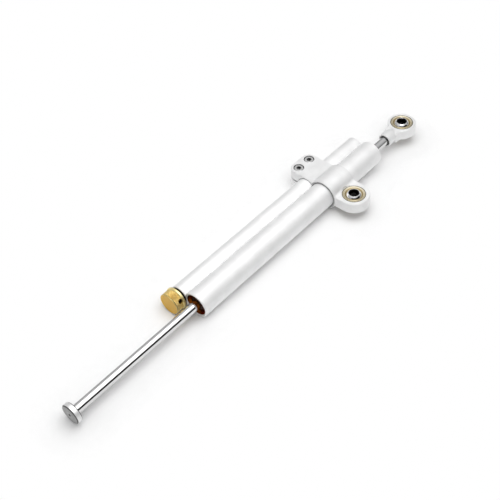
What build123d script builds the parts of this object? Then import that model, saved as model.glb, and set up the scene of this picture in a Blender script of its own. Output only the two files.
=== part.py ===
from build123d import *
import math
import os

os.makedirs("parts", exist_ok=True)

# Steering damper in millimetres. It lies along X, with +X towards the rod end and +Y from the
# clamp's bearing across to the barrels. The origin is the middle of the clamp's bearing.

# Fits, as gaps on the radius or on one face
seat_fit = 0.02
running_fit = 0.04
clamp_fit = 0.08
overrun = 2.0

# Barrels
body_length = 231.0
body_overhang = 57.0
large_diameter = 23.0
large_bore = 19.0
small_diameter = 17.2
small_bore = 12.0
barrel_spacing = 18.0
barrel_drop = 1.2
body_bevel = 0.5
large_mouth_bevel = 0.9
small_mouth_bevel = 0.4
port_diameter = 3.0
port_gap = 2.0

# Through rod and its stop
rod_diameter = 8.0
stop_standoff = 126.0
stop_diameter = 17.4
stop_thickness = 5.0
stop_bevel = 0.9
stop_socket = 1.5
stop_screw_diameter = 4.0
stop_screw_length = 12.0
stop_head_diameter = 7.2
stop_head_height = 2.2
stop_hex = 2.0
stop_hex_depth = 1.6
tapping_depth = 15.0

# End glands, as depths from their outer faces
gland_recess = 0.6
gland_length = 22.0
dish_depth = 1.6
dish_diameter = 17.0
land_gap = 0.2
seal_diameter = 13.0
wiper_depth = 4.0
seal_width = 4.0
lip_gap = 0.05
bush_wall = 1.0
bush_length = 10.0
gland_ring_place = 14.0
static_ring = 1.5

# Piston
piston_rest = 60.5
piston_length = 12.0
piston_gap = 0.25
band_width = 4.0
band_thickness = 1.25
clip_width = 0.8
clip_groove_depth = 0.35
clip_rim = 1.4
clip_mouth = 4.0

# Adjuster cartridge and its spindle
flange_diameter = 16.0
flange_thickness = 1.8
cartridge_length = 20.0
cartridge_ring_place = 4.0
spindle_diameter = 6.0
spindle_bearing = 10.0
spindle_ring = 1.0
spindle_ring_place = 5.0
spindle_clip_groove = 0.4
spindle_neck = 1.6
tongue_width = 1.6
tongue_height = 4.2
tongue_length = 5.0
needle_thread = 8.0
needle_head_length = 6.5
needle_head_gap = 1.0
needle_diameter = 3.0
needle_taper = 4.0
needle_tip_share = 0.4
needle_travel = 1.0
seat_length = 5.0
seat_hole = 2.4

# Adjuster knob
knob_gap = 0.6
knob_length = 9.7
knob_diameter = 20.0
knurl_start = 1.1
knurl_length = 6.2
knurl_depth = 0.5
knob_bevel = 0.6
knob_web = 2.2
grub_diameter = 4.0
grub_place = 3.85
grub_angle = 151.0
grub_sink = 2.2
grub_hex = 2.0
grub_hex_depth = 2.0
click_count = 24
click_circle = 12.4
click_ball = 2.0
click_track_depth = 0.3
click_notch_depth = 0.3
click_spring_wire = 0.3
click_spring_turns = 5
click_spring_pitch = 0.8

# Compensator and rear plug in the small barrel
compensator_length = 8.0
compensator_place = 17.0
plug_inset = 1.6
plug_length = 6.0
plug_clip_width = 0.8
plug_clip_groove = 0.45
plug_clip_rim = 1.3
plug_clip_mouth = 5.0
plug_recess_diameter = 7.6
plug_recess_depth = 1.6
fill_screw_diameter = 4.0
fill_screw_length = 3.4
fill_hex = 2.0
fill_hex_depth = 1.8

# Spherical bearings, alike in the clamp and the rod end
eye_bore = 8.0
ball_diameter = 15.875
ball_bevel = 0.8
ball_land = 0.39653
ball_face_radius = eye_bore / 2 + ball_bevel + ball_land
ball_width = 2 * math.sqrt((ball_diameter / 2) ** 2 - ball_face_radius**2)
race_wall = 2.3625
race_diameter = ball_diameter + 2 * race_wall
race_width = 9.0
race_lip_width = 1.95
race_bevel_diameter = race_diameter - 2 * race_lip_width
race_bevel = 0.5
staking_inset = 1.2
staking_diameter = race_diameter - 2 * staking_inset
staking_width = 0.6
staking_depth = 0.3

# Clamp bracket
clamp_length = 28.0
eye_distance = 23.5
eye_wall = 3.7
eye_diameter = race_diameter + 2 * eye_wall
eye_thickness = 10.0
arch_diameter = 28.0
web_fillet = 2.5
eye_fillet = 5.0
ear_reach = 12.3
ear_top = 9.5
jaw_bottom = 12.5
ear_corner = 7.0
slot_top = 0.5
slot_bottom = 1.5
edge_bevel = 0.5
clamp_mouth_bevel = 0.8
clamp_screw_diameter = 5.0
clamp_screw_spacing = 14.3
clamp_screw_inset = 7.1
clamp_head_diameter = 8.5
clamp_head_height = 5.0
clamp_head_sink = 0.4
counterbore_diameter = 9.6
screw_clearance = 0.25
clamp_hex = 4.0
clamp_hex_depth = 2.5
clamp_screw_tip = 1.0

# Rod end
rod_end_standoff = 20.5
rod_end_shank = 16.5
rod_end_reach = race_diameter / 2 + rod_end_shank
rod_end_wall = 2.7
rod_end_head = race_diameter + 2 * rod_end_wall
rod_end_bevel = 0.9
rod_end_neck = 13.0
rod_end_thickness = 10.0
neck_straight_share = 0.34
neck_taper_share = 0.3
shoulder_radius = 5.0
neck_counterbore_depth = 4.0
neck_counterbore = 10.5
thread_engagement = 13.5
thread_relief = 1.0

# Axes of the two barrels, as (y, z)
large_axis = (eye_distance, 0)
small_axis = (eye_distance + barrel_spacing, -barrel_drop)

# Faces along X, worked out from the sizes above
body_rear = body_overhang
body_front = body_rear - body_length
front_gland_face = body_front + gland_recess
rear_gland_face = body_rear - gland_recess
chamber_front = front_gland_face + gland_length
chamber_rear = rear_gland_face - gland_length
stop_rear = body_front - stop_standoff
stop_front = stop_rear - stop_thickness
rod_front = stop_rear - stop_socket
rod_end_face = body_rear + rod_end_standoff
rod_end_centre = rod_end_face + rod_end_reach
rod_rear = rod_end_face + thread_engagement
piston_front = body_front + piston_rest - piston_length / 2
piston_rear = piston_front + piston_length
front_port = chamber_front + port_gap + port_diameter / 2
rear_port = chamber_rear - port_gap - port_diameter / 2
flange_face = body_front - flange_thickness
cartridge_end = body_front + cartridge_length
knob_rear = flange_face - knob_gap
knob_front = knob_rear - knob_length
needle_head = flange_face + spindle_bearing + spindle_neck + needle_head_gap
needle_shoulder = needle_head + needle_head_length
seat_face = front_port + port_diameter / 2 + port_gap
needle_tip = seat_face + seat_length / 2 - needle_travel
plug_outer = body_rear - plug_inset
plug_inner = plug_outer - plug_length
compensator_rear = body_rear - compensator_place
compensator_front = compensator_rear - compensator_length

# Radii that several pieces share
rod_radius = rod_diameter / 2
large_bore_radius = large_bore / 2
small_bore_radius = small_bore / 2
bush_radius = rod_radius + running_fit + bush_wall
spindle_radius = spindle_diameter / 2
ball_radius = ball_diameter / 2
race_inner = ball_radius + running_fit


def turned(outline, axis):
    """Solid turned about a line along X through axis, from (x, radius) points."""
    half_section = make_face(Polyline(*outline, close=True))
    return Pos(0, *axis) * revolve(half_section, Axis.X)


def upright(outline):
    """Solid turned about Z, from (radius, height) points."""
    return revolve(Plane.XZ * make_face(Polyline(*outline, close=True)), Axis.Z)


def tube(start, end, inner, outer):
    """Outline of a plain ring or sleeve."""
    return [(start, inner), (end, inner), (end, outer), (start, outer)]


def bevelled(start, end, radius, bevel):
    """Outline of a solid cylinder with both rims bevelled."""
    return [
        (start, 0),
        (end, 0),
        (end, radius - bevel),
        (end - bevel, radius),
        (start + bevel, radius),
        (start, radius - bevel),
    ]


def open_bore(start, end, radius, bevel):
    """Outline of a through bore whose two mouths are bevelled."""
    return [
        (start - overrun, 0),
        (end + overrun, 0),
        (end + overrun, radius + bevel),
        (end, radius + bevel),
        (end - bevel, radius),
        (start + bevel, radius),
        (start, radius + bevel),
        (start - overrun, radius + bevel),
    ]


def seal_ring(middle, inner, outer, axis):
    """O-ring as it sits squeezed in its groove: flat where it touches, bulging at its sides."""
    section = outer - inner
    corner = section * (1 - math.sqrt(0.5))
    start = middle - section / 2
    end = middle + section / 2
    waist = (inner + outer) / 2
    outline = [
        (start + corner, inner),
        (end - corner, inner),
        (end, waist),
        (end - corner, outer),
        (start + corner, outer),
        (start, waist),
    ]
    return turned(outline, axis)


def snap_ring(start, width, inner, outer, mouth, axis):
    """Retaining ring with its mouth upwards."""
    ring = turned(tube(start, start + width, inner, outer), axis)
    reach = outer + overrun
    opening = Box(width + 2 * overrun, mouth, reach)
    return ring - Pos(start + width / 2, axis[0], axis[1] + reach / 2) * opening


def hex_along_x(start, end, across_flats, axis):
    """Six-sided prism for a key socket, along X."""
    profile = Plane.YZ * RegularPolygon(across_flats / 2, 6, major_radius=False)
    return Pos(start, *axis) * extrude(profile, amount=end - start)


def hex_along_z(top, depth, across_flats):
    """Six-sided prism for a key socket, down from top."""
    profile = RegularPolygon(across_flats / 2, 6, major_radius=False)
    return Pos(0, 0, top - depth) * extrude(profile, amount=depth + overrun)


# Barrel body

def barrel_body():
    large = turned(bevelled(body_front, body_rear, large_diameter / 2, body_bevel), large_axis)
    small = turned(bevelled(body_front, body_rear, small_diameter / 2, body_bevel), small_axis)
    body = large + small
    body -= turned(open_bore(body_front, body_rear, large_bore_radius, large_mouth_bevel), large_axis)
    body -= turned(open_bore(body_front, body_rear, small_bore_radius, small_mouth_bevel), small_axis)
    clip_start = plug_outer
    groove_radius = small_bore_radius + plug_clip_groove
    groove_end = clip_start + plug_clip_width + 2 * seat_fit
    body -= turned(tube(clip_start, groove_end, 0, groove_radius), small_axis)
    for place in (front_port, rear_port):
        body -= cross_port(place)
    return body


def cross_port(place):
    """Hole through the web, from one bore's axis to the other's."""
    small_end = Vector(place, *small_axis)
    large_end = Vector(place, *large_axis)
    run = large_end - small_end
    hole = Cylinder(port_diameter / 2, run.length, align=(Align.CENTER, Align.CENTER, Align.MIN))
    return Plane(origin=small_end, z_dir=run) * hole


# Glands, bushes, seals and wipers

gland_ends = ((front_gland_face, 1), (rear_gland_face, -1))


def from_face(face, inward, outline):
    """An outline given as (depth, radius), turned into (x, radius)."""
    return [(face + inward * depth, radius) for depth, radius in outline]


def gland(face, inward):
    outer = large_bore_radius - seat_fit
    land = rod_radius + land_gap
    groove_floor = large_bore_radius - static_ring
    groove_start = gland_ring_place - static_ring / 2 - seat_fit
    groove_end = gland_ring_place + static_ring / 2 + seat_fit
    bush_pocket = bush_radius + seat_fit
    seal_floor = wiper_depth + seal_width
    outline = [
        (0, outer),
        (groove_start, outer),
        (groove_start, groove_floor),
        (groove_end, groove_floor),
        (groove_end, outer),
        (gland_length, outer),
        (gland_length, bush_pocket),
        (gland_length - bush_length, bush_pocket),
        (gland_length - bush_length, land),
        (seal_floor, land),
        (seal_floor, seal_diameter / 2),
        (dish_depth, seal_diameter / 2),
        (0, dish_diameter / 2),
    ]
    return turned(from_face(face, inward, outline), large_axis)


def gland_ring(face, inward):
    floor = large_bore_radius - static_ring
    middle = face + inward * gland_ring_place
    return seal_ring(middle, floor + seat_fit, large_bore_radius - seat_fit, large_axis)


def rod_bush(face, inward):
    start = gland_length - bush_length + seat_fit
    inner = rod_radius + running_fit
    return turned(from_face(face, inward, tube(start, gland_length, inner, bush_radius)), large_axis)


def rod_seal(face, inward):
    """Cup seal whose two lips open towards the oil."""
    start = wiper_depth
    end = wiper_depth + seal_width - seat_fit
    inner = rod_radius + lip_gap
    outer = seal_diameter / 2 - seat_fit
    middle = (inner + outer) / 2
    root = start + (end - start) / 2
    lip = (outer - inner) / 5
    outline = [
        (start, inner),
        (end, inner),
        (end, inner + lip),
        (root, middle),
        (end, outer - lip),
        (end, outer),
        (start, outer),
    ]
    return turned(from_face(face, inward, outline), large_axis)


def rod_wiper(face, inward):
    """Scraper whose lip thins towards the outer face."""
    inner = rod_radius + lip_gap
    outer = seal_diameter / 2 - seat_fit
    heel = (inner + outer) / 2
    outline = [
        (dish_depth, inner),
        (wiper_depth - seat_fit, inner),
        (wiper_depth - seat_fit, outer),
        (dish_depth + (wiper_depth - dish_depth) / 3, outer),
        (dish_depth + (wiper_depth - dish_depth) / 3, heel),
    ]
    return turned(from_face(face, inward, outline), large_axis)


# Rod, piston and stop

piston_middle = (piston_front + piston_rear) / 2


def piston_rod():
    bore = stop_screw_diameter / 2 + seat_fit
    groove = rod_radius - clip_groove_depth
    rod = turned(bevelled(rod_front, rod_rear, rod_radius, body_bevel), large_axis)
    rod -= turned(tube(rod_front - overrun, rod_front + tapping_depth, 0, bore), large_axis)
    for start in piston_clip_starts():
        end = start + clip_width + 2 * seat_fit
        rod -= turned(tube(start, end, groove, rod_radius + overrun), large_axis)
    return rod


def piston_clip_starts():
    """Starts of the two grooves that hold the piston on the rod."""
    return (piston_front - clip_width - 2 * seat_fit, piston_rear)


def piston():
    outer = large_bore_radius - piston_gap
    inner = rod_radius + seat_fit
    band_start = piston_middle - band_width / 2 - seat_fit
    band_end = piston_middle + band_width / 2 + seat_fit
    band_floor = large_bore_radius - running_fit - band_thickness - running_fit
    outline = [
        (piston_front, inner),
        (piston_rear, inner),
        (piston_rear, outer),
        (band_end, outer),
        (band_end, band_floor),
        (band_start, band_floor),
        (band_start, outer),
        (piston_front, outer),
    ]
    return turned(outline, large_axis)


def piston_band():
    start = piston_middle - band_width / 2
    outer = large_bore_radius - running_fit
    return turned(tube(start, start + band_width, outer - band_thickness, outer), large_axis)


def piston_clips():
    inner = rod_radius - clip_groove_depth + seat_fit
    outer = rod_radius + clip_rim
    places = piston_clip_starts()
    rings = [snap_ring(x + seat_fit, clip_width, inner, outer, clip_mouth, large_axis) for x in places]
    return Compound(children=rings)


def stop_disc():
    disc = turned(bevelled(stop_front, stop_rear, stop_diameter / 2, stop_bevel), large_axis)
    disc -= turned(tube(rod_front, stop_rear + overrun, 0, rod_radius + seat_fit), large_axis)
    disc -= turned(stop_screw_outline(seat_fit, overrun), large_axis)
    return disc


def stop_screw_outline(gap, proud):
    """Countersunk screw, wider by gap, and running past the stop's face by proud."""
    head = stop_head_diameter / 2 + gap
    shank = stop_screw_diameter / 2 + gap
    return [
        (stop_front - proud, 0),
        (stop_front + stop_screw_length, 0),
        (stop_front + stop_screw_length, shank),
        (stop_front + stop_head_height, shank),
        (stop_front, head),
        (stop_front - proud, head),
    ]


def stop_screw():
    screw = turned(stop_screw_outline(0, 0)[:5], large_axis)
    return screw - hex_along_x(stop_front - overrun, stop_front + stop_hex_depth, stop_hex, large_axis)


# Rod end, along X from its neck to its eye

def rod_end():
    half = rod_end_thickness / 2
    head_radius = rod_end_head / 2
    neck_radius = rod_end_neck / 2
    neck_start = rod_end_face + rod_end_reach * neck_straight_share
    taper_end = neck_start + rod_end_reach * neck_taper_share
    plan = Pos(rod_end_centre, large_axis[0]) * Circle(head_radius)
    arm_length = rod_end_centre - neck_start
    arm = Rectangle(arm_length, rod_end_neck, align=(Align.MIN, Align.CENTER))
    plan += Pos(neck_start, large_axis[0]) * arm
    inside = [v for v in plan.vertices() if v.X > neck_start + shoulder_radius / 2]
    plan = fillet(inside, shoulder_radius)
    head = rims_bevelled(Pos(0, 0, -half) * extrude(plan, amount=rod_end_thickness), rod_end_bevel)
    neck_outline = [
        (rod_end_face, 0),
        (taper_end, 0),
        (taper_end, half - rod_end_bevel),
        (neck_start, neck_radius),
        (rod_end_face + edge_bevel, neck_radius),
        (rod_end_face, neck_radius - edge_bevel),
    ]
    body = head + turned(neck_outline, large_axis)
    thread = rod_radius + seat_fit
    bore_end = rod_rear + thread_relief
    body -= turned(tube(rod_end_face - overrun, bore_end, 0, thread), large_axis)
    counterbore_end = rod_end_face + neck_counterbore_depth
    body -= turned(tube(rod_end_face - overrun, counterbore_end, 0, neck_counterbore / 2), large_axis)
    return body - Pos(rod_end_centre, large_axis[0], 0) * eye_cut(rod_end_thickness)


# Spherical bearings, made at the origin with their axis along Z

def eye_cut(thickness):
    """Cut for the race, with a bevel at both faces of the eye."""
    radius = race_diameter / 2 + seat_fit
    outline = open_bore(-thickness / 2, thickness / 2, radius, edge_bevel)
    return upright([(across, height) for height, across in outline])


def sphere_arc(radius, half_width):
    """Half section of a sphere between two cuts, from bottom to top."""
    cut_radius = math.sqrt(radius**2 - half_width**2)
    return ThreePointArc((cut_radius, -half_width), (radius, 0), (cut_radius, half_width))


def bearing_race():
    """Ring whose hollow seat holds the ball, with a staking groove in both faces."""
    half = race_width / 2
    outer = race_diameter / 2
    lip = race_bevel_diameter / 2
    groove = staking_diameter / 2
    side = staking_width / 2
    seat = sphere_arc(race_inner, half - race_bevel)
    face = [(lip, half), (groove - side, half), (groove, half - staking_depth), (groove + side, half)]
    back = [(across, -height) for across, height in reversed(face)]
    outside = Polyline(seat @ 1, *face, (outer, half), (outer, -half), *back, seat @ 0)
    return revolve(Plane.XZ * make_face([*seat.edges(), *outside.edges()]), Axis.Z)


def bearing_ball():
    half = ball_width / 2
    radius = eye_bore / 2
    skin = sphere_arc(ball_radius, half)
    bore = Polyline(
        skin @ 1,
        (radius + ball_bevel, half),
        (radius, half - ball_bevel),
        (radius, ball_bevel - half),
        (radius + ball_bevel, -half),
        skin @ 0,
    )
    return revolve(Plane.XZ * make_face([*skin.edges(), *bore.edges()]), Axis.Z)


# Clamp bracket

screw_row = small_axis[0] + ear_reach + small_diameter / 2 - clamp_screw_inset
ear_end = screw_row + clamp_screw_inset
head_seat = ear_top - clamp_head_sink - clamp_head_height
coves = (
    (eye_thickness / 2, eye_fillet, -1, 1),
    (eye_thickness / 2, eye_fillet, -1, -1),
    (ear_top, web_fillet, 1, 1),
    (jaw_bottom, web_fillet, 1, -1),
)


def clamp_arch():
    """Round body of the bracket, about the large barrel."""
    half = clamp_length / 2
    return turned(bevelled(-half, half, arch_diameter / 2, edge_bevel), large_axis)


def rims_bevelled(block, bevel):
    """The block with its top and bottom rims bevelled."""
    for face in (block.faces().sort_by(Axis.Z)[0], block.faces().sort_by(Axis.Z)[-1]):
        block = chamfer(face.edges(), bevel)
    return block


def clamp_ear():
    """Block round the small barrel that the two screws close, with rounded outer corners."""
    reach = ear_end - large_axis[0]
    plan = Pos(0, large_axis[0]) * Rectangle(clamp_length, reach, align=(Align.CENTER, Align.MIN))
    plan = fillet(plan.vertices().group_by(Axis.Y)[-1], ear_corner)
    return rims_bevelled(Pos(0, 0, -jaw_bottom) * extrude(plan, amount=ear_top + jaw_bottom), edge_bevel)


def clamp_eye():
    """Round-ended lug for the bearing, reaching into the arch."""
    plan = Circle(eye_diameter / 2) + Rectangle(
        clamp_length, large_axis[0], align=(Align.CENTER, Align.MIN)
    )
    return rims_bevelled(Pos(0, 0, -eye_thickness / 2) * extrude(plan, amount=eye_thickness), edge_bevel)


def cove(height, radius, side, up):
    """Concave fillet along X between the arch and a flat face at the given height."""
    arch = arch_diameter / 2
    across = math.sqrt((arch + radius) ** 2 - (height + radius) ** 2)
    centre = Vector(across, height + radius)
    on_arch = centre * (arch / (arch + radius))
    on_flat = Vector(across, height)
    inward = (on_arch - centre).normalized() + (on_flat - centre).normalized()
    middle = centre + inward.normalized() * radius
    section = make_face([
        *ThreePointArc(on_flat, middle, on_arch).edges(),
        *Polyline(on_arch, (0, height / 2), on_flat).edges(),
    ])
    if side < 0:
        section = mirror(section, Plane.YZ)
    if up < 0:
        section = mirror(section, Plane.XZ)
    run = clamp_length - 2 * edge_bevel
    return Pos(-run / 2, *large_axis) * extrude(Plane.YZ * section, amount=run)


def clamp_bracket():
    half = clamp_length / 2
    bracket = clamp_arch() + clamp_ear() + clamp_eye()
    for height, radius, side, up in coves:
        bracket += cove(height, radius, side, up)
    large = large_diameter / 2 + clamp_fit
    small = small_diameter / 2 + clamp_fit
    bracket -= turned(open_bore(-half, half, large, clamp_mouth_bevel), large_axis)
    bracket -= turned(open_bore(-half, half, small, clamp_mouth_bevel), small_axis)
    slot_reach = ear_end - small_axis[0] + overrun
    slot = Box(clamp_length + 2 * overrun, slot_reach, slot_top + slot_bottom)
    slot_middle = (slot_top - slot_bottom) / 2
    bracket -= Pos(0, small_axis[0] + slot_reach / 2, slot_middle) * slot
    bracket -= eye_cut(eye_thickness)
    for x in clamp_screw_places():
        bracket -= Pos(x, screw_row, 0) * clamp_screw_hole()
    return bracket


def clamp_screw_places():
    return (-clamp_screw_spacing / 2, clamp_screw_spacing / 2)


def clamp_screw_hole():
    """Counterbore and clearance hole in the upper jaw, tapped hole in the lower."""
    counterbore = counterbore_diameter / 2
    clearance = clamp_screw_diameter / 2 + screw_clearance
    tapped = clamp_screw_diameter / 2 + seat_fit
    outline = [
        (0, -jaw_bottom - overrun),
        (tapped, -jaw_bottom - overrun),
        (tapped, -slot_bottom),
        (clearance, -slot_bottom),
        (clearance, head_seat),
        (counterbore, head_seat),
        (counterbore, ear_top),
        (counterbore + edge_bevel, ear_top + edge_bevel),
        (0, ear_top + edge_bevel),
    ]
    return upright(outline)


def clamp_screw():
    top = ear_top - clamp_head_sink
    head = clamp_head_diameter / 2
    shank = clamp_screw_diameter / 2
    tip = clamp_screw_tip - jaw_bottom
    outline = [
        (0, tip),
        (shank - edge_bevel, tip),
        (shank, tip + edge_bevel),
        (shank, head_seat),
        (head, head_seat),
        (head, top - edge_bevel),
        (head - edge_bevel, top),
        (0, top),
    ]
    return upright(outline) - hex_along_z(top, clamp_hex_depth, clamp_hex)


def clamp_screws():
    return Compound(children=[Pos(x, screw_row, 0) * clamp_screw() for x in clamp_screw_places()])


# Adjuster: cartridge, spindle, needle and valve seat

def adjuster_cartridge():
    outer = small_bore_radius - seat_fit
    groove_floor = small_bore_radius - static_ring
    ring_middle = body_front + cartridge_ring_place
    groove_start = ring_middle - static_ring / 2 - seat_fit
    groove_end = ring_middle + static_ring / 2 + seat_fit
    bearing_end = flange_face + spindle_bearing
    outline = [
        (flange_face, spindle_radius + running_fit),
        (bearing_end, spindle_radius + running_fit),
        (bearing_end, needle_thread / 2),
        (cartridge_end, needle_thread / 2),
        (cartridge_end, outer),
        (groove_end, outer),
        (groove_end, groove_floor),
        (groove_start, groove_floor),
        (groove_start, outer),
        (body_front, outer),
        (body_front, flange_diameter / 2),
        (flange_face, flange_diameter / 2),
    ]
    cartridge = turned(outline, small_axis)
    track_inner = (click_circle - click_ball) / 2
    track_outer = (click_circle + click_ball) / 2
    track_floor = flange_face + click_track_depth
    cartridge -= turned(tube(flange_face - overrun, track_floor, track_inner, track_outer), small_axis)
    notch = click_notch(track_floor)
    for i in range(click_count):
        cartridge -= Pos(0, *small_axis) * Rot(i * 360 / click_count, 0, 0) * notch
    return cartridge


def click_notch(track_floor):
    """V-shaped notch across the click track, above the spindle's axis."""
    width = click_notch_depth
    points = [(-overrun, -width), (0, -width), (click_notch_depth, 0), (0, width), (-overrun, width)]
    section = make_face(Polyline(*points, close=True))
    start = (click_circle - click_ball) / 2
    return Pos(track_floor, 0, start) * extrude(section, amount=click_ball)


spindle_front = knob_front + knob_web
spindle_clip_start = flange_face + spindle_bearing + running_fit
spindle_end = spindle_clip_start + clip_width + spindle_neck
spindle_ring_floor = spindle_radius + running_fit - spindle_ring


def adjuster_spindle():
    """Spindle with grooves for its ring and clip, and a flat tongue that drives the needle."""
    ring_middle = flange_face + spindle_ring_place
    ring_start = ring_middle - spindle_ring / 2 - seat_fit
    ring_end = ring_middle + spindle_ring / 2 + seat_fit
    clip_floor = spindle_radius - spindle_clip_groove
    clip_end = spindle_clip_start + clip_width + seat_fit
    outline = [
        (spindle_front + seat_fit, 0),
        (spindle_end, 0),
        (spindle_end, spindle_radius),
        (clip_end, spindle_radius),
        (clip_end, clip_floor),
        (spindle_clip_start, clip_floor),
        (spindle_clip_start, spindle_radius),
        (ring_end, spindle_radius),
        (ring_end, spindle_ring_floor),
        (ring_start, spindle_ring_floor),
        (ring_start, spindle_radius),
        (spindle_front + seat_fit, spindle_radius),
    ]
    tongue = Box(tongue_length, tongue_height, tongue_width, align=(Align.MIN, Align.CENTER, Align.CENTER))
    return turned(outline, small_axis) + Pos(spindle_end, *small_axis) * tongue


def spindle_oring():
    middle = flange_face + spindle_ring_place
    return seal_ring(middle, spindle_ring_floor + seat_fit, spindle_radius, small_axis)


def spindle_clip():
    inner = spindle_radius - spindle_clip_groove + seat_fit
    outer = needle_thread / 2 - running_fit * 2
    return snap_ring(spindle_clip_start, clip_width, inner, outer, tongue_height, small_axis)


def metering_needle():
    """Threaded head slotted for the tongue, a stem and a tapered tip."""
    head = needle_thread / 2 - running_fit
    stem = needle_diameter / 2
    outline = [
        (needle_head, 0),
        (needle_tip, 0),
        (needle_tip, stem * needle_tip_share),
        (needle_tip - needle_taper, stem),
        (needle_shoulder, stem),
        (needle_shoulder, head),
        (needle_head, head),
    ]
    needle = turned(outline, small_axis)
    slot_end = spindle_end + tongue_length + running_fit
    slot_run = slot_end - needle_head + overrun
    slot = Box(
        slot_run,
        tongue_height + 2 * running_fit,
        tongue_width + 2 * running_fit,
        align=(Align.MAX, Align.CENTER, Align.CENTER),
    )
    return needle - Pos(slot_end, *small_axis) * slot


def valve_seat():
    outer = small_bore_radius - seat_fit
    hole = seat_hole / 2
    mouth = needle_diameter / 2 + port_gap / 2
    outline = [
        (seat_face, mouth),
        (seat_face + mouth - hole, hole),
        (seat_face + seat_length, hole),
        (seat_face + seat_length, outer),
        (seat_face, outer),
    ]
    return turned(outline, small_axis)


# Knob with its grub screw, click ball and click spring

def knob_profile():
    """Outline with a plain nose, a knurl band at crest height and a plain skirt."""
    radius = knob_diameter / 2
    nose = radius - knurl_depth
    return [
        (knob_front, 0),
        (knob_rear, 0),
        (knob_rear, radius - knob_bevel / 2),
        (knob_rear - knob_bevel / 2, radius),
        (knob_front + knurl_start + knurl_length + knurl_depth, radius),
        (knob_front + knurl_start + knurl_length, nose),
        (knob_front + knob_bevel, nose),
        (knob_front, nose - knob_bevel),
    ]


def adjuster_knob():
    knob = turned(knob_profile(), small_axis)
    spindle_bore = spindle_radius + seat_fit
    knob -= turned(tube(spindle_front, knob_rear + overrun, 0, spindle_bore), small_axis)
    knob -= grub_place_pose() * Cylinder(
        grub_diameter / 2 + seat_fit,
        knob_diameter,
        align=(Align.CENTER, Align.CENTER, Align.MIN),
    )
    click_radius = click_ball / 2 + running_fit
    pocket = turned(tube(click_pocket_end(), knob_rear + overrun, 0, click_radius), click_axis())
    return knob - pocket


def grub_place_pose():
    """Location on the spindle's axis, its Z pointing out along the grub screw."""
    angle = math.radians(grub_angle)
    outward = (0, math.cos(angle), math.sin(angle))
    return Plane(origin=(knob_rear - grub_place, *small_axis), z_dir=outward).location


def knob_grub_screw():
    start = spindle_radius + seat_fit
    end = knob_diameter / 2 - knurl_depth - grub_sink
    screw = Pos(0, 0, start) * Cylinder(
        grub_diameter / 2,
        end - start,
        align=(Align.CENTER, Align.CENTER, Align.MIN),
    )
    return grub_place_pose() * (screw - hex_along_z(end, grub_hex_depth, grub_hex))


def click_axis():
    """Axis of the click ball, straight above the spindle."""
    return (small_axis[0], small_axis[1] + click_circle / 2)


def click_ball_middle():
    return flange_face + click_track_depth - running_fit - click_ball / 2


def click_pocket_end():
    spring_length = click_spring_turns * click_spring_pitch + click_spring_wire
    return click_ball_middle() - click_ball / 2 - spring_length - 2 * seat_fit


def detent_ball():
    return Pos(click_ball_middle(), *click_axis()) * Sphere(click_ball / 2)


def detent_spring():
    """Coil between the ball and the end of its pocket."""
    mean_radius = (click_ball - click_spring_wire) / 2 - seat_fit
    start = click_pocket_end() + seat_fit + click_spring_wire / 2
    height = click_spring_turns * click_spring_pitch
    path = Helix(click_spring_pitch, height, mean_radius)
    section = Plane(origin=path @ 0, z_dir=path % 0) * RegularPolygon(click_spring_wire / 2, 4)
    coil = sweep(section, path=path)
    print("detent spring: least gap between turns", click_spring_pitch - click_spring_wire, "mm")
    along_x = Plane(origin=(start, *click_axis()), z_dir=(1, 0, 0)).location
    return along_x * coil


# Gas-backed compensator and the small barrel's rear plug

def compensator_piston():
    outer = small_bore_radius - running_fit
    middle = (compensator_front + compensator_rear) / 2
    floor = small_bore_radius - running_fit - static_ring
    groove = static_ring / 2 + seat_fit
    cup = compensator_length / 2 - groove
    outline = [
        (compensator_front, 0),
        (compensator_rear - cup, 0),
        (compensator_rear - cup, floor - bush_wall),
        (compensator_rear, floor - bush_wall),
        (compensator_rear, outer),
        (middle + groove, outer),
        (middle + groove, floor),
        (middle - groove, floor),
        (middle - groove, outer),
        (compensator_front, outer),
    ]
    return turned(outline, small_axis)


def compensator_oring():
    middle = (compensator_front + compensator_rear) / 2
    outer = small_bore_radius - running_fit
    return seal_ring(middle, outer - static_ring + seat_fit, outer, small_axis)


def rear_plug():
    outer = small_bore_radius - seat_fit
    middle = (plug_inner + plug_outer) / 2
    floor = small_bore_radius - static_ring
    groove = static_ring / 2 + seat_fit
    thread = fill_screw_diameter / 2 + seat_fit
    recess = plug_outer - plug_recess_depth
    outline = [
        (plug_inner, thread),
        (recess, thread),
        (recess, plug_recess_diameter / 2),
        (plug_outer - seat_fit, plug_recess_diameter / 2),
        (plug_outer - seat_fit, outer),
        (middle + groove, outer),
        (middle + groove, floor),
        (middle - groove, floor),
        (middle - groove, outer),
        (plug_inner, outer),
    ]
    return turned(outline, small_axis)


def small_barrel_ring(middle):
    floor = small_bore_radius - static_ring
    return seal_ring(middle, floor + seat_fit, small_bore_radius - seat_fit, small_axis)


def small_barrel_orings():
    """The cartridge's ring and the rear plug's ring."""
    middles = (body_front + cartridge_ring_place, (plug_inner + plug_outer) / 2)
    return Compound(children=[small_barrel_ring(middle) for middle in middles])


def rear_plug_clip():
    outer = small_bore_radius + plug_clip_groove - seat_fit
    inner = small_bore_radius - plug_clip_rim
    return snap_ring(plug_outer + seat_fit, plug_clip_width, inner, outer, plug_clip_mouth, small_axis)


def fill_screw():
    """Grub-type filling screw, flush with the floor of the plug's recess."""
    recess = plug_outer - plug_recess_depth
    start = recess - fill_screw_length
    screw = turned(bevelled(start, recess, fill_screw_diameter / 2, fill_hex_depth / 8), small_axis)
    return screw - hex_along_x(recess - fill_hex_depth, recess + overrun, fill_hex, small_axis)


def pair(make):
    """One copy of a piece for each gland."""
    return Compound(children=[make(face, inward) for face, inward in gland_ends])


at_rod_end = Pos(rod_end_centre, large_axis[0], 0)

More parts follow.
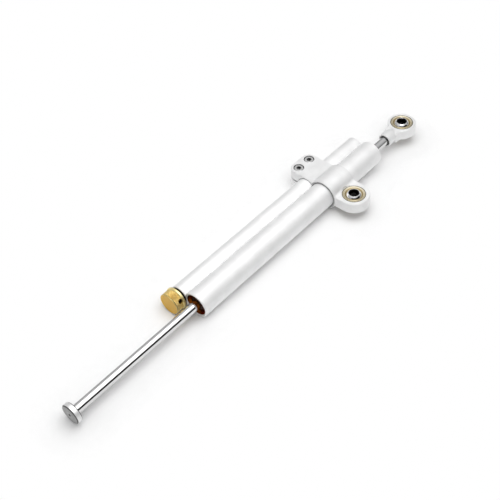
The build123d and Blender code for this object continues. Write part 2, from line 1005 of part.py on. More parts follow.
pieces = {
    "barrel_body": barrel_body(),
    "end_glands": pair(gland),
    "gland_orings": pair(gland_ring),
    "rod_bushes": pair(rod_bush),
    "rod_seals": pair(rod_seal),
    "rod_wipers": pair(rod_wiper),
    "piston_rod": piston_rod(),
    "piston": piston(),
    "piston_band": piston_band(),
    "piston_clips": piston_clips(),
    "stop_disc": stop_disc(),
    "stop_screw": stop_screw(),
    "rod_end": rod_end(),
    "rod_end_race": at_rod_end * bearing_race(),
    "rod_end_ball": at_rod_end * bearing_ball(),
    "clamp_bracket": clamp_bracket(),
    "clamp_race": bearing_race(),
    "clamp_ball": bearing_ball(),
    "clamp_screws": clamp_screws(),
    "adjuster_knob": adjuster_knob(),
    "knob_grub_screw": knob_grub_screw(),
    "detent_ball": detent_ball(),
    "detent_spring": detent_spring(),
    "adjuster_cartridge": adjuster_cartridge(),
    "small_barrel_orings": small_barrel_orings(),
    "adjuster_spindle": adjuster_spindle(),
    "spindle_oring": spindle_oring(),
    "spindle_clip": spindle_clip(),
    "metering_needle": metering_needle(),
    "valve_seat": valve_seat(),
    "compensator_piston": compensator_piston(),
    "compensator_oring": compensator_oring(),
    "rear_plug": rear_plug(),
    "rear_plug_clip": rear_plug_clip(),
    "fill_screw": fill_screw(),
}

for node, shape in pieces.items():
    export_step(shape, f"parts/{node}.step")
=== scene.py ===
import math

import bmesh
import bpy
from mathutils import Matrix, Vector


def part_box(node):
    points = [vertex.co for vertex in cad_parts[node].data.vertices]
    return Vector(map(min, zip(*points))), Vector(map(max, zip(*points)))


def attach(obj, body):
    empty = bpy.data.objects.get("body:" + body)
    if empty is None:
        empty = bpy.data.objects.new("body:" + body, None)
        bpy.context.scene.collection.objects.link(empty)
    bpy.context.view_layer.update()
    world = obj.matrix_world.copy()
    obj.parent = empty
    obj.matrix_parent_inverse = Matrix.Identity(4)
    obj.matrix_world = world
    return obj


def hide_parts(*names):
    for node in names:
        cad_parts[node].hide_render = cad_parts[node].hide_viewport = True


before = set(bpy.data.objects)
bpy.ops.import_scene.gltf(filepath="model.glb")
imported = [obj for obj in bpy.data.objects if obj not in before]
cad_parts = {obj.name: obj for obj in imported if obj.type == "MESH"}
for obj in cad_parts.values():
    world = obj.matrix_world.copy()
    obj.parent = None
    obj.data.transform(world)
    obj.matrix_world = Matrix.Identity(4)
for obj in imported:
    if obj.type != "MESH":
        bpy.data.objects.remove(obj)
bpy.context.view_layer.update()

# Everything is in metres. The damper lies along X, its two barrels' axes at these (y, z) places.
MM = 0.001
LARGE_AXIS = (23.5 * MM, 0.0)
SMALL_AXIS = (41.5 * MM, -1.2 * MM)
SHARP_ANGLE = math.radians(28)
WELD_REACH = 0.001 * MM


# Shader nodes

def new_material(name):
    """An empty node material with a Principled shader; returns it with its tree and shader."""
    material = bpy.data.materials.new(name)
    material.use_nodes = True
    tree = material.node_tree
    return material, tree, tree.nodes["Principled BSDF"]


def node(tree, kind, **settings):
    made = tree.nodes.new(kind)
    for key, value in settings.items():
        setattr(made, key, value)
    return made


def combine(tree, kind, operation, first, second):
    """A math node on a socket and on a second socket or plain vector."""
    made = node(tree, kind, operation=operation)
    tree.links.new(first, made.inputs[0])
    if isinstance(second, tuple):
        made.inputs[1].default_value = second
    else:
        tree.links.new(second, made.inputs[1])
    return made.outputs[0]


def multiply(tree, first, second):
    return combine(tree, "ShaderNodeVectorMath", "MULTIPLY", first, second)


def object_coordinates(tree, scale=(1, 1, 1), shift=(0, 0, 0)):
    """Object coordinates moved by shift and then stretched by scale."""
    coordinates = node(tree, "ShaderNodeTexCoord")
    moved = combine(tree, "ShaderNodeVectorMath", "ADD", coordinates.outputs["Object"], shift)
    return multiply(tree, moved, scale)


def distance_from(tree, place, along):
    """Distance in metres from the line through place along one axis, given as "X" or "Z"."""
    keep = (0, 1, 1) if along == "X" else (1, 1, 0)
    flat = object_coordinates(tree, keep, tuple(-value for value in place))
    length = node(tree, "ShaderNodeVectorMath", operation="LENGTH")
    tree.links.new(flat, length.inputs[0])
    return length.outputs["Value"]


NOISE_DETAIL = 3.0


def noise(tree, vector, scale):
    made = node(tree, "ShaderNodeTexNoise")
    made.inputs["Scale"].default_value = scale
    made.inputs["Detail"].default_value = NOISE_DETAIL
    tree.links.new(vector, made.inputs["Vector"])
    return made.outputs["Fac"]


def grey(level):
    return (level, level, level)


def ramp(tree, value, stops):
    """Colour ramp through (position, colour) stops."""
    made = node(tree, "ShaderNodeValToRGB")
    elements = made.color_ramp.elements
    while len(elements) < len(stops):
        elements.new(0.5)
    for element, (place, colour) in zip(elements, stops):
        element.position = place
        element.color = (*colour, 1)
    tree.links.new(value, made.inputs["Fac"])
    return made.outputs["Color"]


# Part of a noise's range over which it goes from the first colour to the second
NOISE_RANGE = (0.3, 0.7)
PATCH_RANGE = (0.35, 0.65)


def noise_colour(tree, value, colours, limits=NOISE_RANGE):
    """Two colours mixed by a noise."""
    return ramp(tree, value, list(zip(limits, colours)))


def spread(tree, value, low, high):
    """The value carried from the range low to high onto 0 to 1."""
    made = node(tree, "ShaderNodeMapRange")
    made.inputs["From Min"].default_value = low
    made.inputs["From Max"].default_value = high
    tree.links.new(value, made.inputs["Value"])
    return made.outputs["Result"]


def mix(tree, amount, first, second):
    """Colour between first and second; either may be a socket or a plain colour."""
    made = node(tree, "ShaderNodeMix", data_type="RGBA")
    tree.links.new(amount, made.inputs["Factor"])
    for name, value in (("A", first), ("B", second)):
        socket = next(s for s in made.inputs if s.name == name and s.type == "RGBA")
        if isinstance(value, tuple):
            socket.default_value = (*value, 1)
        else:
            tree.links.new(value, socket)
    return next(s for s in made.outputs if s.type == "RGBA")


def bump(tree, shader, height, strength, distance):
    made = node(tree, "ShaderNodeBump")
    made.inputs["Strength"].default_value = strength
    made.inputs["Distance"].default_value = distance
    tree.links.new(height, made.inputs["Height"])
    tree.links.new(made.outputs["Normal"], shader.inputs["Normal"])


OPEN_SAMPLES = 8


def open_share(tree, reach):
    """How open a point lies to the outside: 1 in the open and near 0 deep in a gap."""
    made = node(tree, "ShaderNodeAmbientOcclusion", samples=OPEN_SAMPLES)
    made.inputs["Distance"].default_value = reach
    return made.outputs["AO"]


# Metals

# How far a neighbouring surface reaches with the painted shade that darkens a gap, and how open a
# point is once it isn't painted darker
GAP_SHADE_REACH = 1.6 * MM
GAP_SHADE_OPEN = 0.55
GAP_SHADE_GREY = grey(0.12)
PATCH_SCALE = 60
GRAIN_SCALE = 2500
GRAIN_STRENGTH = 0.25
GRAIN_HEIGHT = 0.002 * MM
EVEN_GRAIN = (1, 1, 1)
DRAWN_GRAIN = (0.03, 1, 1)

# Lowest and highest roughness of each finish
MATT = (0.68, 0.76)
TURNED_MATT = (0.5, 0.6)
RACE_FINISH = (0.40, 0.50)
GOLD_FINISH = (0.42, 0.52)
PRESSED_FINISH = (0.35, 0.5)
BLACK_FINISH = (0.30, 0.40)
TURNED_FINISH = (0.25, 0.4)
SCREW_FINISH = (0.20, 0.32)
CLAMP_SCREW_FINISH = (0.25, 0.35)
BROWN_FINISH = (0.20, 0.30)
BALL_FINISH = (0.06, 0.12)
ROD_FINISH = (0.03, 0.06)

# Darker and lighter colour of each metal
ALUMINIUM = (grey(0.90), grey(0.96))
CHROME = (grey(0.68), grey(0.74))
BROWN = ((0.09, 0.020, 0.002), (0.20, 0.055, 0.006))
# Painted shade in the brown anodising's gaps
BROWN_GAP_SHADE = (0.02, 0.006, 0.002)
BROWN_GLANCING = (0.30, 0.10, 0.02)
BLACK = ((0.012, 0.010, 0.008), (0.022, 0.018, 0.014))
# Painted shade in the black anodising's gaps
BLACK_GAP_SHADE = (0.005, 0.004, 0.003)
SCREW_STEEL = (grey(0.50), (0.66, 0.66, 0.67))
CLAMP_SCREW_STEEL = (grey(0.66), grey(0.80))
TURNED_STEEL = ((0.42, 0.42, 0.43), (0.55, 0.55, 0.56))
BRONZE = ((0.40, 0.25, 0.10), (0.52, 0.34, 0.16))
ROD_GRAIN_HEIGHT = 0.0003 * MM
BALL_GRAIN_HEIGHT = 0.0005 * MM


def metal_base(name, grain=EVEN_GRAIN):
    """A metal's material, tree and shader, with its fine grain, for finish_metal to complete."""
    material, tree, shader = new_material(name)
    shader.inputs["Metallic"].default_value = 1.0
    fine = noise(tree, object_coordinates(tree, grain), GRAIN_SCALE)
    return material, tree, shader, fine


def patches(tree, colours, scale=PATCH_SCALE):
    """Colour that wanders between two colours over the metal."""
    return noise_colour(tree, noise(tree, object_coordinates(tree), scale), colours, PATCH_RANGE)


def finish_metal(
    tree, shader, colour, fine, finish, height=GRAIN_HEIGHT, gap_shade=GAP_SHADE_GREY, reach=GAP_SHADE_REACH
):
    """Paints shade into the gaps, spreads the roughness over the finish's range and adds the grain's
    bump.
    """
    openness = spread(tree, open_share(tree, reach), 0.0, GAP_SHADE_OPEN)
    # Painted shade: the colour goes over to the gap's shade colour where close surfaces hem a point
    # in
    tree.links.new(mix(tree, openness, gap_shade, colour), shader.inputs["Base Color"])
    roughness = noise_colour(tree, fine, [grey(level) for level in finish])
    tree.links.new(roughness, shader.inputs["Roughness"])
    bump(tree, shader, fine, GRAIN_STRENGTH, height)


def metal(name, colours, finish, grain=EVEN_GRAIN, height=GRAIN_HEIGHT, gap_shade=GAP_SHADE_GREY):
    material, tree, shader, fine = metal_base(name, grain)
    finish_metal(tree, shader, patches(tree, colours), fine, finish, height, gap_shade)
    return material


# Width in mm over which one zone's colour goes over into the next, and the wander of a zone's level
ZONE_BLEND = 0.08
WANDER_SCALE = 90
WANDER_RANGE = (0.2, 0.8)
WANDER_LEVEL = 0.88


def zone_stops(zones):
    """Ramp stops that hold each zone's colour from its radius to just before the next one's."""
    outermost = zones[-1][0]
    stops = []
    for (start, colour), (end, _) in zip(zones, [*zones[1:], zones[-1]]):
        stops.append((start / outermost, colour))
        if end < outermost:
            stops.append(((end - ZONE_BLEND) / outermost, colour))
    return stops


def zoned_metal(name, zones, finish, place, along, height=GRAIN_HEIGHT, gap_shade=GAP_SHADE_GREY):
    """Turned metal whose colour changes with the distance from an axis.

    Each zone is (radius in mm, colour): the colour holds from that radius outwards."""
    material, tree, shader, fine = metal_base(name)
    radius = spread(tree, distance_from(tree, place, along), 0, zones[-1][0] * MM)
    colour = ramp(tree, radius, zone_stops(zones))
    wander = spread(tree, noise(tree, object_coordinates(tree), WANDER_SCALE), *WANDER_RANGE)
    wandering = mix(tree, wander, multiply(tree, colour, grey(WANDER_LEVEL)), colour)
    finish_metal(tree, shader, wandering, fine, finish, height, gap_shade)
    return material


def brown_material():
    """Brown anodising, which stays brown where it is seen at a glancing angle."""
    material = metal("brown_anodised", BROWN, BROWN_FINISH, gap_shade=BROWN_GAP_SHADE)
    shader = material.node_tree.nodes["Principled BSDF"]
    shader.inputs["Specular Tint"].default_value = (*BROWN_GLANCING, 1)
    return material


# Clamp screws, with painted shade, near black, inside the hexagon sockets
SCREW_HEAD_RADIUS = 4.25 * MM
HEX_RADIUS = 2.05 * MM
# Painted shade inside the hexagon sockets of the clamp screws and the stop screw
HEX_SOCKET_SHADE = grey(0.01)


def screw_centres():
    low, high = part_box("clamp_screws")
    middle = (low.y + high.y) / 2
    return (low.x + SCREW_HEAD_RADIUS, middle, 0), (high.x - SCREW_HEAD_RADIUS, middle, 0)


def clamp_screw_material():
    material, tree, shader, fine = metal_base("clamp_screw_steel")
    first, second = (distance_from(tree, centre, "Z") for centre in screw_centres())
    nearest = combine(tree, "ShaderNodeMath", "MINIMUM", first, second)
    outside = spread(tree, nearest, HEX_RADIUS - ZONE_BLEND * MM, HEX_RADIUS)
    zoned = mix(tree, outside, HEX_SOCKET_SHADE, patches(tree, CLAMP_SCREW_STEEL))
    finish_metal(tree, shader, zoned, fine, CLAMP_SCREW_FINISH)
    return material


# Seals

POLYMER_SCALE = 900
POLYMER_ROUGHNESS = 0.6
POLYMER_STRENGTH = 0.2
POLYMER_HEIGHT = 0.01 * MM
RUBBER = (grey(0.010), grey(0.022))
WIPER = ((0.022, 0.005, 0.001), (0.045, 0.011, 0.002))
SLIDE_BAND = ((0.05, 0.16, 0.12), (0.08, 0.22, 0.17))


def soft_polymer(name, colours):
    """Rubber or plastic of a seal, matt with a faint mottle."""
    material, tree, shader = new_material(name)
    mottle = noise(tree, object_coordinates(tree), POLYMER_SCALE)
    tree.links.new(noise_colour(tree, mottle, colours), shader.inputs["Base Color"])
    shader.inputs["Roughness"].default_value = POLYMER_ROUGHNESS
    bump(tree, shader, mottle, POLYMER_STRENGTH, POLYMER_HEIGHT)
    return material


# Colour by the distance from the rod's axis. Painted shade darkens the stop disc's bevel rings, the
# stop screw's socket, and the clamp arch's front ring and bore; the stop disc's turned face is darker
# than its blasted outside, partly as painted shade.
ROD_LINE = (0, *LARGE_AXIS)
STOP_ZONES = [
    # The stop disc's turned face, darker partly as painted shade
    (0.0, grey(0.41)),
    # Painted shade on the stop disc's bevel rings
    (7.95, grey(0.14)),
    (8.6, grey(0.92)),
    (8.8, grey(0.92)),
]
STOP_SCREW_ZONES = [
    (0.0, HEX_SOCKET_SHADE),
    (1.3, grey(0.40)),
    (4.0, grey(0.40)),
]
# Painted shade on the clamp arch's front ring and bore, within 13.5 mm of the rod's axis
BRACKET_SHADE_ZONES = [
    (0.0, grey(0.60)),
    (13.5, grey(0.95)),
    (60.0, grey(0.95)),
]

# Race and ball of each spherical bearing, coloured by the distance from the bearing's axis. The
# race's dark rings, inside its seat, at its groove and at its rim, are painted shade, and so is the
# black of the ball's bore and its chamfer.
CLAMP_EYE = (0, 0, 0)
ROD_END_EYE = (104.3 * MM, 23.5 * MM, 0)
# Painted shade in the races' gaps
RACE_GAP_SHADE = (0.55, 0.43, 0.22)
RACE_ZONES = [
    (0.0, (0.42, 0.33, 0.17)),
    (8.20, (0.99, 0.92, 0.72)),
    (8.75, (0.26, 0.20, 0.08)),
    (9.10, (0.99, 0.92, 0.74)),
    (9.75, (0.10, 0.08, 0.03)),
    (10.6, (0.10, 0.08, 0.03)),
]
BALL_ZONES = [
    (0.0, grey(0.015)),
    (4.2, grey(0.04)),
    (4.75, (0.92, 0.92, 0.925)),
    (8.2, (0.95, 0.95, 0.955)),
]


def race_material(name, centre):
    return zoned_metal(name, RACE_ZONES, RACE_FINISH, centre, "Z", gap_shade=RACE_GAP_SHADE)


def ball_material(name, centre):
    return zoned_metal(name, BALL_ZONES, BALL_FINISH, centre, "Z", height=BALL_GRAIN_HEIGHT)


# CAD nodes that keep their shape

anodised = metal("anodised_aluminium", ALUMINIUM, MATT)
extruded = metal("extruded_aluminium", ALUMINIUM, MATT, grain=DRAWN_GRAIN)
chrome = metal("polished_chrome", CHROME, ROD_FINISH, height=ROD_GRAIN_HEIGHT)
black = metal("black_anodised", BLACK, BLACK_FINISH, gap_shade=BLACK_GAP_SHADE)
screw_steel = metal("screw_steel", SCREW_STEEL, SCREW_FINISH)
turned_steel = metal("turned_steel", TURNED_STEEL, TURNED_FINISH)
bronze = metal("sintered_bronze", BRONZE, PRESSED_FINISH)
rubber = soft_polymer("seal_rubber", RUBBER)

FINISHES = {
    "barrel_body": extruded,
    "end_glands": brown_material(),
    "gland_orings": rubber,
    "rod_bushes": bronze,
    "rod_seals": rubber,
    "rod_wipers": soft_polymer("wiper_polyurethane", WIPER),
    "piston_rod": chrome,
    "piston": turned_steel,
    "piston_band": soft_polymer("slide_band", SLIDE_BAND),
    "piston_clips": turned_steel,
    "stop_disc": zoned_metal("stop_aluminium", STOP_ZONES, TURNED_MATT, ROD_LINE, "X"),
    "stop_screw": zoned_metal("stop_screw_steel", STOP_SCREW_ZONES, BLACK_FINISH, ROD_LINE, "X"),
    "rod_end": anodised,
    "rod_end_race": race_material("rod_end_race_yellow", ROD_END_EYE),
    "rod_end_ball": ball_material("rod_end_ball_steel", ROD_END_EYE),
    "clamp_bracket": zoned_metal("bracket_aluminium", BRACKET_SHADE_ZONES, MATT, ROD_LINE, "X"),
    "clamp_race": race_material("clamp_race_yellow", CLAMP_EYE),
    "clamp_ball": ball_material("clamp_ball_steel", CLAMP_EYE),
    "clamp_screws": clamp_screw_material(),
    "knob_grub_screw": black,
    "detent_ball": chrome,
    "detent_spring": turned_steel,
    "adjuster_cartridge": black,
    "small_barrel_orings": rubber,
    "adjuster_spindle": turned_steel,
    "spindle_oring": rubber,
    "spindle_clip": turned_steel,
    "metering_needle": turned_steel,
    "valve_seat": turned_steel,
    "compensator_piston": turned_steel,
    "compensator_oring": rubber,
    "rear_plug": anodised,
    "rear_plug_clip": turned_steel,
    "fill_screw": screw_steel,
}


def split_sharp_edges(part):
    """Smooth shading that stops at the part's edges."""
    weld = part.modifiers.new("weld", "WELD")
    weld.merge_threshold = WELD_REACH
    split = part.modifiers.new("split", "EDGE_SPLIT")
    split.split_angle = SHARP_ANGLE


def dress(name, material):
    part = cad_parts[name]
    part.data.materials.clear()
    part.data.materials.append(material)
    for face in part.data.polygons:
        face.use_smooth = True
    split_sharp_edges(part)


for name, material in FINISHES.items():
    dress(name, material)


# Knurled knob

KNOB_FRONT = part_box("adjuster_knob")[0].x
KNOB_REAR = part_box("adjuster_knob")[1].x
SKIRT_RADIUS = 10.0 * MM
SKIRT_SLOPE = 0.35 * MM
NOSE_RADIUS = 9.5 * MM
KNOB_BEVEL = 0.6 * MM
BEVEL_START = 0.3
FACE_RINGS = (2 * MM, 5 * MM, 7.6 * MM)
FACE_DISH = 0.15 * MM
FACE_LAND = 7.9 * MM
KNOB_WEB = 2.2 * MM
SPINDLE_BORE = 3.02 * MM
KNURL_START = 1.1 * MM
KNURL_LENGTH = 6.2 * MM
KNURL_RUNOUT = 0.25 * MM
KNURL_DEPTH = 0.42 * MM
KNURL_END_HEIGHT = 0.35
KNURL_TEETH = 36
KNURL_ROWS = 14
STEPS_PER_TOOTH = 4
ROUND_STEPS = STEPS_PER_TOOTH * KNURL_TEETH
GRUB_PLACE = 3.85 * MM
GRUB_ANGLE = math.radians(151.0)
GRUB_HOLE = 2.02 * MM
GRUB_HOLE_SIDES = 40
CUT_PAST_RIM = 2 * MM


def knob_rings():
    """Rings of the knob from its face's middle to its bore, as (x, radius, knurl row or None)."""
    front = KNOB_FRONT
    knurl_front = front + KNURL_START
    knurl_end = knurl_front + KNURL_LENGTH + KNURL_RUNOUT
    rounding = KNOB_BEVEL * BEVEL_START
    rings = [(front + FACE_DISH, radius, None) for radius in FACE_RINGS]
    rings += [
        (front, FACE_LAND, None),
        (front, NOSE_RADIUS - KNOB_BEVEL, None),
        (front + rounding, NOSE_RADIUS - rounding, None),
        (front + KNOB_BEVEL, NOSE_RADIUS, None),
    ]
    for row in range(KNURL_ROWS + 1):
        rings.append((knurl_front + KNURL_LENGTH * row / KNURL_ROWS, NOSE_RADIUS, row))
    rings += [
        (knurl_end, NOSE_RADIUS, None),
        (knurl_end + SKIRT_SLOPE, SKIRT_RADIUS, None),
        (KNOB_REAR - KNOB_BEVEL / 2, SKIRT_RADIUS, None),
        (KNOB_REAR, SKIRT_RADIUS - KNOB_BEVEL / 2, None),
        (KNOB_REAR, SPINDLE_BORE, None),
        (front + KNOB_WEB, SPINDLE_BORE, None),
    ]
    return rings


def saw(steps):
    """Triangle wave that rises from 0 to 1 and falls back over one tooth."""
    half = STEPS_PER_TOOTH / 2
    return 1 - abs(steps % STEPS_PER_TOOTH - half) / half


def knurl_height(row, step):
    """Share of the knurl's depth that stands: pyramids between two crossing sets of grooves."""
    if row is None:
        return 1.0
    if row in (0, KNURL_ROWS):
        return KNURL_END_HEIGHT
    return min(saw(row + step), saw(row - step))


def knob_point(x, radius, angle):
    return (x, SMALL_AXIS[0] + radius * math.cos(angle), SMALL_AXIS[1] + radius * math.sin(angle))


def knob_ring(mesh, x, radius, row):
    ring = []
    for step in range(ROUND_STEPS):
        cut = KNURL_DEPTH * (1 - knurl_height(row, step))
        ring.append(mesh.verts.new(knob_point(x, radius - cut, 2 * math.pi * step / ROUND_STEPS)))
    return ring


def join_rings(mesh, ring, following, row, knurled):
    """Faces between two rings, as smooth quads or, on the knurl, as triangles along its grooves."""
    for step in range(ROUND_STEPS):
        after = (step + 1) % ROUND_STEPS
        corners = (ring[step], following[step], following[after], ring[after])
        if not knurled:
            mesh.faces.new(corners).smooth = True
        elif (row + step) % 2:
            mesh.faces.new((corners[0], corners[1], corners[3]))
            mesh.faces.new((corners[1], corners[2], corners[3]))
        else:
            mesh.faces.new((corners[0], corners[1], corners[2]))
            mesh.faces.new((corners[0], corners[2], corners[3]))


def mesh_data(mesh, name):
    data = bpy.data.meshes.new(name)
    mesh.to_mesh(data)
    mesh.free()
    return data


def knob_mesh():
    """The knob turned from its rings, its knurl split along the grooves."""
    mesh = bmesh.new()
    rings = [(knob_ring(mesh, x, radius, row), row) for x, radius, row in knob_rings()]
    for (ring, row), (following, next_row) in zip(rings, rings[1:]):
        join_rings(mesh, ring, following, row, row is not None and next_row is not None)
    for ring, _ in (rings[0], rings[-1]):
        mesh.faces.new(ring)
    bmesh.ops.recalc_face_normals(mesh, faces=mesh.faces)
    return mesh_data(mesh, "knurled_knob")


def grub_cutter():
    """Cylinder from the spindle's bore out through the knob's rim, along the grub screw."""
    outward = Vector((0, math.cos(GRUB_ANGLE), math.sin(GRUB_ANGLE)))
    start = SPINDLE_BORE / 2
    end = SKIRT_RADIUS + CUT_PAST_RIM
    mesh = bmesh.new()
    bmesh.ops.create_cone(
        mesh,
        cap_ends=True,
        segments=GRUB_HOLE_SIDES,
        radius1=GRUB_HOLE,
        radius2=GRUB_HOLE,
        depth=end - start,
    )
    middle = Vector((KNOB_REAR - GRUB_PLACE, *SMALL_AXIS)) + outward * (start + end) / 2
    turn = Vector((0, 0, 1)).rotation_difference(outward).to_matrix().to_4x4()
    bmesh.ops.transform(mesh, matrix=Matrix.Translation(middle) @ turn, verts=mesh.verts)
    return mesh_data(mesh, "grub_cutter")


def new_object(name, data):
    made = bpy.data.objects.new(name, data)
    bpy.context.scene.collection.objects.link(made)
    return made


def drilled(blank_data, cutter_data):
    """The blank's mesh with the cutter's mesh cut out of it."""
    blank = new_object("blank", blank_data)
    cutter = new_object("cutter", cutter_data)
    cut = blank.modifiers.new("hole", "BOOLEAN")
    cut.operation = "DIFFERENCE"
    cut.solver = "EXACT"
    cut.object = cutter
    bpy.context.view_layer.update()
    depsgraph = bpy.context.evaluated_depsgraph_get()
    result = bpy.data.meshes.new_from_object(blank.evaluated_get(depsgraph))
    bpy.data.objects.remove(cutter)
    bpy.data.objects.remove(blank)
    return result


GOLD = ((0.96, 0.80, 0.36), (0.99, 0.90, 0.50))
# Painted shade in the knurl's grooves
GOLD_GROOVE_SHADE = (0.66, 0.42, 0.09)
# Painted shade in the gold's gaps
GOLD_GAP_SHADE = (0.04, 0.02, 0.004)
GOLD_PATCH_SCALE = 140
GROOVE_RADIUS = 9.05 * MM
# How far the floor and the rod shade the knob
KNOB_SHADE_REACH = 2.5 * MM
# Level of the gold along the knob's front, by shares of this length, as painted shade: its bevel is
# painted darkest
TONE_LENGTH = 2 * MM
BEVEL_SHADE_TONES = [
    (0.0, grey(1.0)),
    (0.13, grey(1.0)),
    (0.22, grey(0.50)),
    (0.5, grey(0.50)),
    (0.6, grey(1.0)),
]


def gold_material():
    """Gold anodising with painted shade: darker in the knurl's grooves than on its crests, darkest on
    the bevel, and darker in its gaps.
    """
    material, tree, shader, fine = metal_base("gold_anodised")
    crest = spread(tree, distance_from(tree, (0, *SMALL_AXIS), "X"), GROOVE_RADIUS, NOSE_RADIUS)
    groove_shaded = mix(tree, crest, GOLD_GROOVE_SHADE, patches(tree, GOLD, GOLD_PATCH_SCALE))
    split = node(tree, "ShaderNodeSeparateXYZ")
    tree.links.new(object_coordinates(tree), split.inputs["Vector"])
    along = spread(tree, split.outputs["X"], KNOB_FRONT, KNOB_FRONT + TONE_LENGTH)
    bevel_shaded = multiply(tree, groove_shaded, ramp(tree, along, BEVEL_SHADE_TONES))
    finish_metal(
        tree, shader, bevel_shaded, fine, GOLD_FINISH, gap_shade=GOLD_GAP_SHADE, reach=KNOB_SHADE_REACH
    )
    return material


def build_knob():
    data = drilled(knob_mesh(), grub_cutter())
    data.materials.clear()
    data.materials.append(gold_material())
    knob = new_object("knurled_knob", data)
    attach(knob, "knob")
    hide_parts("adjuster_knob")
    split_sharp_edges(knob)


build_knob()


# Floor and backdrop

ARCH_RADIUS = 14.0 * MM
EDGE_BEVEL = 0.5 * MM
EAR_CORNER = 7.0 * MM
EAR_BOTTOM = -12.5 * MM
FLOOR_RADIUS = 8.0
FLOOR_SIDES = 96
BACKDROP_RADIUS = 8.2
BACKDROP_LOW = -0.4
BACKDROP_HIGH = 0.8
FLOOR_SHADE_REACH = 30 * MM
FLOOR_SHADE_RANGE = (0.90, 1.0)
PAPER = (grey(0.87), grey(0.89))
PAPER_SCALE = 3.0
PAPER_ROUGHNESS = 0.8
PAPER_SPECULAR = 0.1
# Slope of the floor across the barrels, only used to find where their rounds touch it
TOUCH_ROLL = 0.0415


def lowest_of_round(x, axis, radius):
    """Where a round about a barrel's axis touches the floor."""
    y, z = axis
    return Vector((x, y + radius * math.sin(TOUCH_ROLL), z - radius * math.cos(TOUCH_ROLL)))


def rest_points():
    """The damper rests on the clamp's arch, on the edge of its ear and on the knob's skirt."""
    low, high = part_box("clamp_bracket")
    arch = lowest_of_round(low.x + EDGE_BEVEL, LARGE_AXIS, ARCH_RADIUS)
    ear = Vector((low.x + EAR_CORNER, high.y - EDGE_BEVEL, EAR_BOTTOM))
    knob = lowest_of_round(KNOB_REAR - KNOB_BEVEL / 2, SMALL_AXIS, SKIRT_RADIUS)
    return arch, ear, knob


def seen_rays(tree):
    """1 for the rays by which the camera, metal or glass sees a surface, 0 for the rest."""
    path = node(tree, "ShaderNodeLightPath")
    total = path.outputs["Is Camera Ray"]
    for name in ("Is Glossy Ray", "Is Transmission Ray"):
        total = combine(tree, "ShaderNodeMath", "MAXIMUM", total, path.outputs[name])
    return total


def floor_material():
    """Matt pale paper that is seen as plain white away from the damper and its shadow."""
    material, tree, shader = new_material("pale_floor")
    mottle = noise(tree, object_coordinates(tree), PAPER_SCALE)
    tree.links.new(noise_colour(tree, mottle, PAPER), shader.inputs["Base Color"])
    shader.inputs["Roughness"].default_value = PAPER_ROUGHNESS
    shader.inputs["Specular IOR Level"].default_value = PAPER_SPECULAR
    white = node(tree, "ShaderNodeEmission")
    clear = spread(tree, open_share(tree, FLOOR_SHADE_REACH), *FLOOR_SHADE_RANGE)
    paper = node(tree, "ShaderNodeMixShader")
    amount = combine(tree, "ShaderNodeMath", "MULTIPLY", clear, seen_rays(tree))
    tree.links.new(amount, paper.inputs["Fac"])
    tree.links.new(shader.outputs["BSDF"], paper.inputs[1])
    tree.links.new(white.outputs["Emission"], paper.inputs[2])
    output = next(found for found in tree.nodes if found.type == "OUTPUT_MATERIAL")
    tree.links.new(paper.outputs["Shader"], output.inputs["Surface"])
    return material


def turns(sides):
    """Angles of the corners of a regular ring."""
    return [2 * math.pi * side / sides for side in range(sides)]


def round_points(radius, height):
    corners = turns(FLOOR_SIDES)
    return [(radius * math.cos(turn), radius * math.sin(turn), height) for turn in corners]


def floor_mesh():
    """The floor, and past its edge a low backdrop, which the flag hides from the damper."""
    points = round_points(FLOOR_RADIUS, 0)
    points += round_points(BACKDROP_RADIUS, BACKDROP_LOW)
    points += round_points(BACKDROP_RADIUS, BACKDROP_HIGH)
    faces = [tuple(range(FLOOR_SIDES))]
    for side in range(FLOOR_SIDES):
        low, after = FLOOR_SIDES + side, FLOOR_SIDES + (side + 1) % FLOOR_SIDES
        faces.append((low, after, after + FLOOR_SIDES, low + FLOOR_SIDES))
    mesh = bpy.data.meshes.new("floor")
    mesh.from_pydata(points, [], faces)
    mesh.materials.append(floor_material())
    return mesh


def build_floor():
    """Lays the floor through the three points on which the damper rests."""
    floor = new_object("floor", floor_mesh())
    arch, ear, knob = rest_points()
    normal = (knob - arch).cross(ear - arch).normalized()
    if normal.z < 0:
        normal.negate()
    floor.rotation_mode = "QUATERNION"
    floor.rotation_quaternion = Vector((0, 0, 1)).rotation_difference(normal)
    floor.location = arch


build_floor()


# Light: a pale studio, a dark flag all round, higher on the near side, and a soft box overhead

WORLD_STRENGTH = 0.78
# Level of the studio's walls along the direction's X and up its Z
WALLS_ACROSS = [(0.45, grey(1.0)), (0.70, grey(0.85))]
WALLS_UPWARD = [(0.0, grey(0.35)), (0.35, grey(0.5)), (0.75, grey(1.0))]
FLAG_RADIUS = 1.2
FLAG_LOW = math.radians(1.0)
FLAG_HIGH_NEAR = math.radians(36)
FLAG_HIGH_FAR = math.radians(6)
FLAG_NEAR_MIDDLE = math.radians(-118)
FLAG_NEAR_HALF = math.radians(54)
FLAG_BLEND = math.radians(20)
FLAG_SIDES = 144
CLOTH = (grey(0.010), grey(0.018))
CLOTH_SCALE = 40
CLOTH_ROUGHNESS = 0.9
SOFT_BOX_PLACE = (-0.11, -0.12, 0.74)
SOFT_BOX_TARGET = (-0.10, 0.02, 0)
SOFT_BOX_WIDTH = 0.8
SOFT_BOX_POWER = 4.0


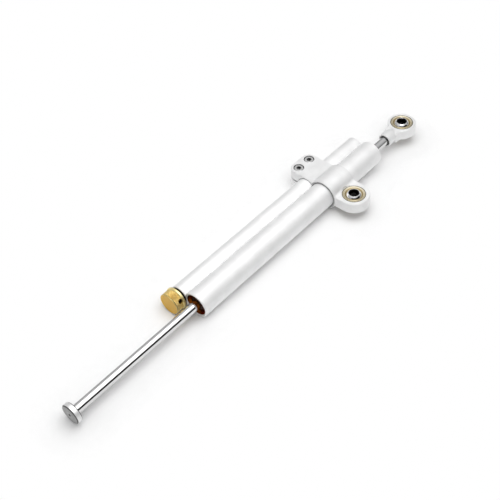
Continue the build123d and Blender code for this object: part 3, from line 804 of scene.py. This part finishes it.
def build_world():
    """Pale studio, brightest overhead, its walls darker low down and towards the rod end's side."""
    world = bpy.data.worlds.new("studio")
    bpy.context.scene.world = world
    world.use_nodes = True
    tree = world.node_tree
    tree.nodes.clear()
    direction = node(tree, "ShaderNodeTexCoord")
    split = node(tree, "ShaderNodeSeparateXYZ")
    tree.links.new(direction.outputs["Generated"], split.inputs["Vector"])
    across = ramp(tree, split.outputs["X"], WALLS_ACROSS)
    upward = ramp(tree, split.outputs["Z"], WALLS_UPWARD)
    studio = node(tree, "ShaderNodeBackground")
    studio.inputs["Strength"].default_value = WORLD_STRENGTH
    tree.links.new(multiply(tree, across, upward), studio.inputs["Color"])
    output = node(tree, "ShaderNodeOutputWorld")
    tree.links.new(studio.outputs["Background"], output.inputs["Surface"])


def flag_material():
    material, tree, shader = new_material("black_flag")
    cloth = noise(tree, object_coordinates(tree), CLOTH_SCALE)
    tree.links.new(noise_colour(tree, cloth, CLOTH), shader.inputs["Base Color"])
    shader.inputs["Roughness"].default_value = CLOTH_ROUGHNESS
    return material


def flag_top(angle):
    """Elevation of the flag's top edge: high on the near side and low on the far side."""
    away = abs(math.remainder(angle - FLAG_NEAR_MIDDLE, 2 * math.pi))
    share = min(1, max(0, (away - FLAG_NEAR_HALF) / FLAG_BLEND))
    return FLAG_HIGH_NEAR + (FLAG_HIGH_FAR - FLAG_HIGH_NEAR) * share


def build_flag():
    """Black cloth ring for the dark lines in the polished metal; the camera looks through it."""
    low = FLAG_RADIUS * math.tan(FLAG_LOW)
    points = []
    for turn in turns(FLAG_SIDES):
        x, y = FLAG_RADIUS * math.cos(turn), FLAG_RADIUS * math.sin(turn)
        points += [(x, y, low), (x, y, FLAG_RADIUS * math.tan(flag_top(turn)))]
    count = len(points)
    faces = [(i, (i + 2) % count, (i + 3) % count, i + 1) for i in range(0, count, 2)]
    mesh = bpy.data.meshes.new("flag")
    mesh.from_pydata(points, [], faces)
    mesh.materials.append(flag_material())
    flag = new_object("flag", mesh)
    flag.visible_camera = False


def build_soft_box():
    data = bpy.data.lights.new("soft_box", "AREA")
    data.shape = "ELLIPSE"
    data.size = SOFT_BOX_WIDTH
    data.size_y = SOFT_BOX_WIDTH
    data.energy = SOFT_BOX_POWER
    light = new_object("soft_box", data)
    light.location = SOFT_BOX_PLACE
    light.rotation_mode = "QUATERNION"
    aim = Vector(SOFT_BOX_TARGET) - Vector(SOFT_BOX_PLACE)
    light.rotation_quaternion = aim.to_track_quat("-Z", "Y")


build_world()
build_flag()
build_soft_box()


# Camera that the photograph was taken with, found by fitting its outlines
SENSOR = 36.0
IMAGE_WIDTH = 500
FOCAL_PIXELS = 929.0
CLIP_START = 0.01
CAMERA_PLACE = (-0.47712, -0.34024, 0.55792)
CAMERA_TARGET = (-0.10253, 0.02944, 0.0)
CAMERA_ROLL = math.radians(-4.4756)


def build_camera():
    data = bpy.data.cameras.new("camera")
    data.sensor_width = SENSOR
    data.lens = SENSOR * FOCAL_PIXELS / IMAGE_WIDTH
    data.clip_start = CLIP_START
    camera = new_object("camera", data)
    camera.location = CAMERA_PLACE
    aim = (Vector(CAMERA_TARGET) - Vector(CAMERA_PLACE)).to_track_quat("-Z", "Y").to_matrix()
    camera.rotation_mode = "QUATERNION"
    camera.rotation_quaternion = (aim @ Matrix.Rotation(CAMERA_ROLL, 3, "Z")).to_quaternion()
    bpy.context.scene.camera = camera


build_camera()
bpy.context.scene.view_settings.view_transform = "Standard"
